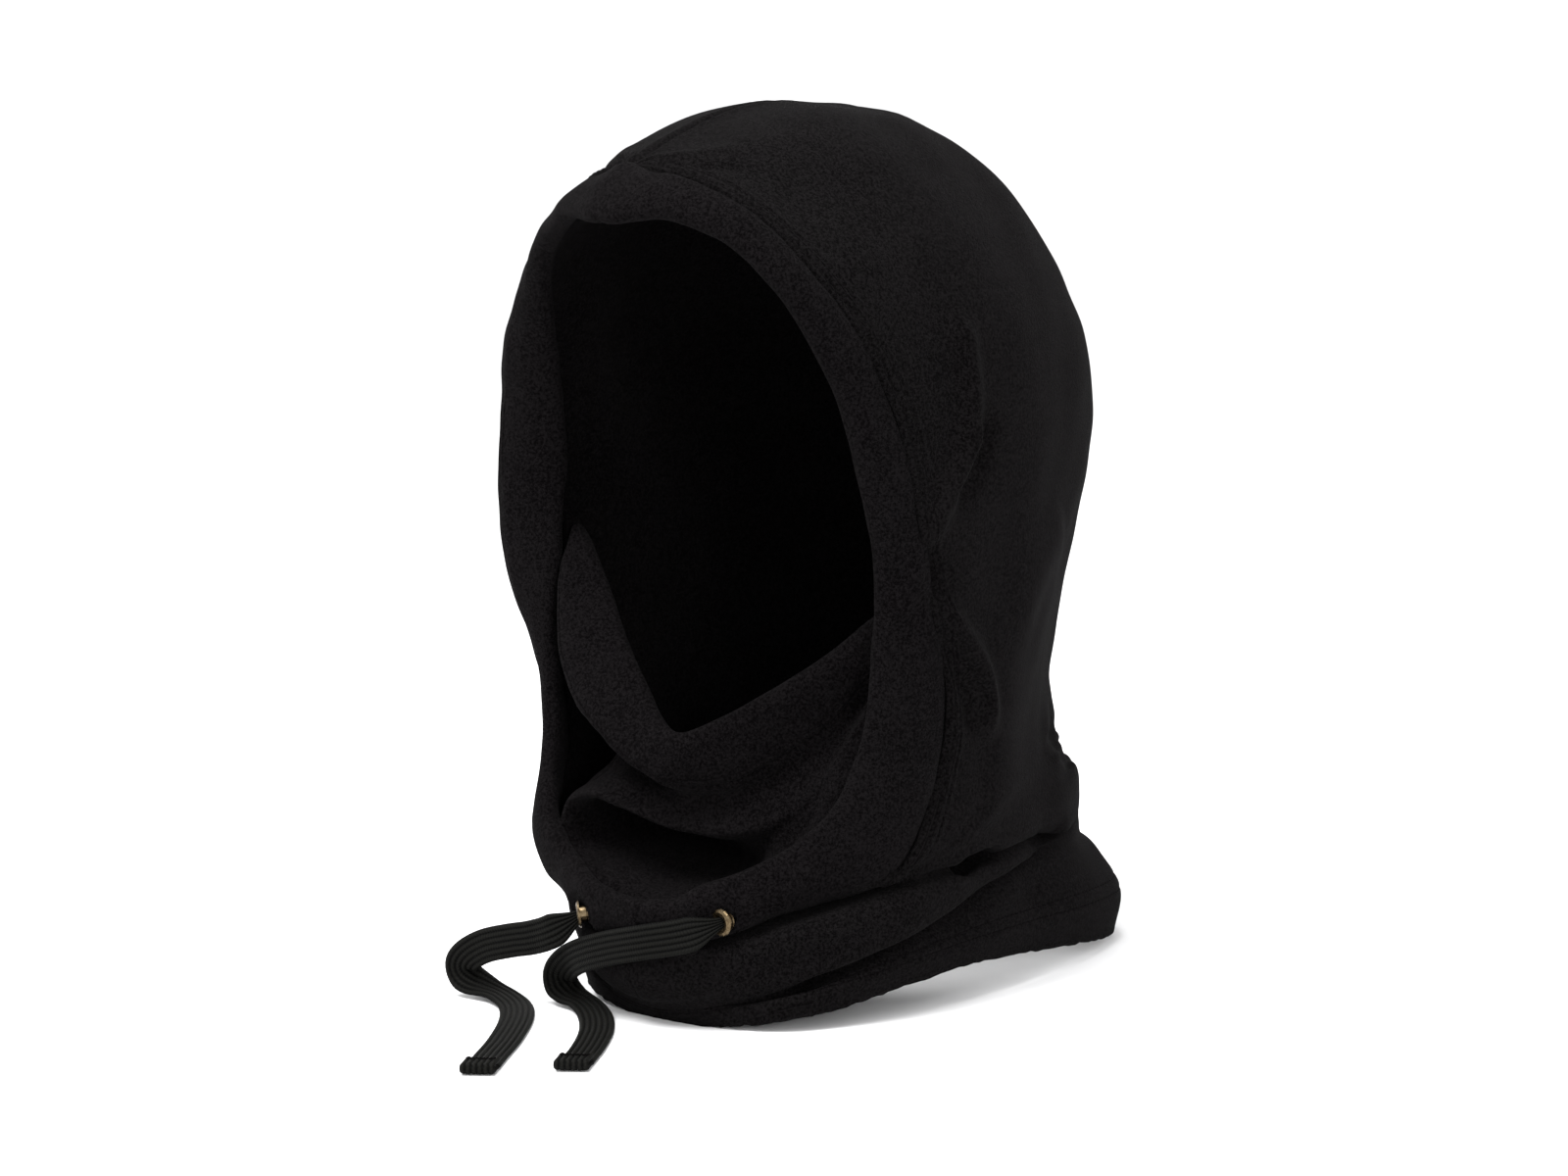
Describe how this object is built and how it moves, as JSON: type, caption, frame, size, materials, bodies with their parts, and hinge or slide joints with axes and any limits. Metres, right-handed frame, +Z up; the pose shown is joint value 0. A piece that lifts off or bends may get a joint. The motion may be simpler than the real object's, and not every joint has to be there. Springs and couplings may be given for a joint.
{
  "type": "balaclava",
  "caption": "Black fleece balaclava hood with a drawcord face opening, metal eyelets, flat braided cord ends and a pull-up face mask.",
  "frame": {"origin": "on the surface it stands on, under the middle of the hood's box, free cord ends left out", "axes": "+Z up through the crown, the wearer looks along -Y, +X is the wearer's left"},
  "size_m": [0.1986, 0.3472, 0.3585],
  "materials": {
    "fleece": "matt brushed fleece",
    "braid": "flat tubular braid, slight sheen",
    "thread": "matt sewing thread",
    "elastic": "matt knitted elastic",
    "eyelet_metal": "antique brushed eyelet"
  },
  "bodies": {
    "root": {"hood_panel_left": "fleece", "hood_panel_right": "fleece", "face_casing": "fleece", "mask_panel": "fleece", "centre_seam_allowance": "thread", "nape_elastic": "elastic", "eyelet_left": "eyelet_metal", "eyelet_right": "eyelet_metal", "eyelet_washer_left": "eyelet_metal", "eyelet_washer_right": "eyelet_metal", "drawcord_in_casing": "braid", "casing_topstitch_outer": "thread", "casing_topstitch_inner": "thread", "hem_stitch_lower": "thread", "hem_stitch_upper": "thread", "mask_bartack_left": "thread", "mask_bartack_right": "thread"},
    "mask": {"mask_band": "fleece", "mask_hem_stitch": "thread"},
    "cord_left": {"drawcord_left": "braid", "cord_end_left": "braid", "cord_end_stitch_left": "thread"},
    "cord_right": {"drawcord_right": "braid", "cord_end_right": "braid", "cord_end_stitch_right": "thread"}
  },
  "joints": [
    {"name": "mask_lift", "type": "hinge", "parent": "root", "child": "mask", "pos_m": [0.0021, -0.05172, 0.18], "axis": [-1, 0, 0], "range_deg": [0, 50]},
    {"name": "left_cord_pull", "type": "slide", "parent": "root", "child": "cord_left", "axis": [0.75, -0.6614, 0], "range_m": [0, 0.025]},
    {"name": "right_cord_pull", "type": "slide", "parent": "root", "child": "cord_right", "axis": [-0.75, -0.6614, 0], "range_m": [0, 0.025]}
  ]
}
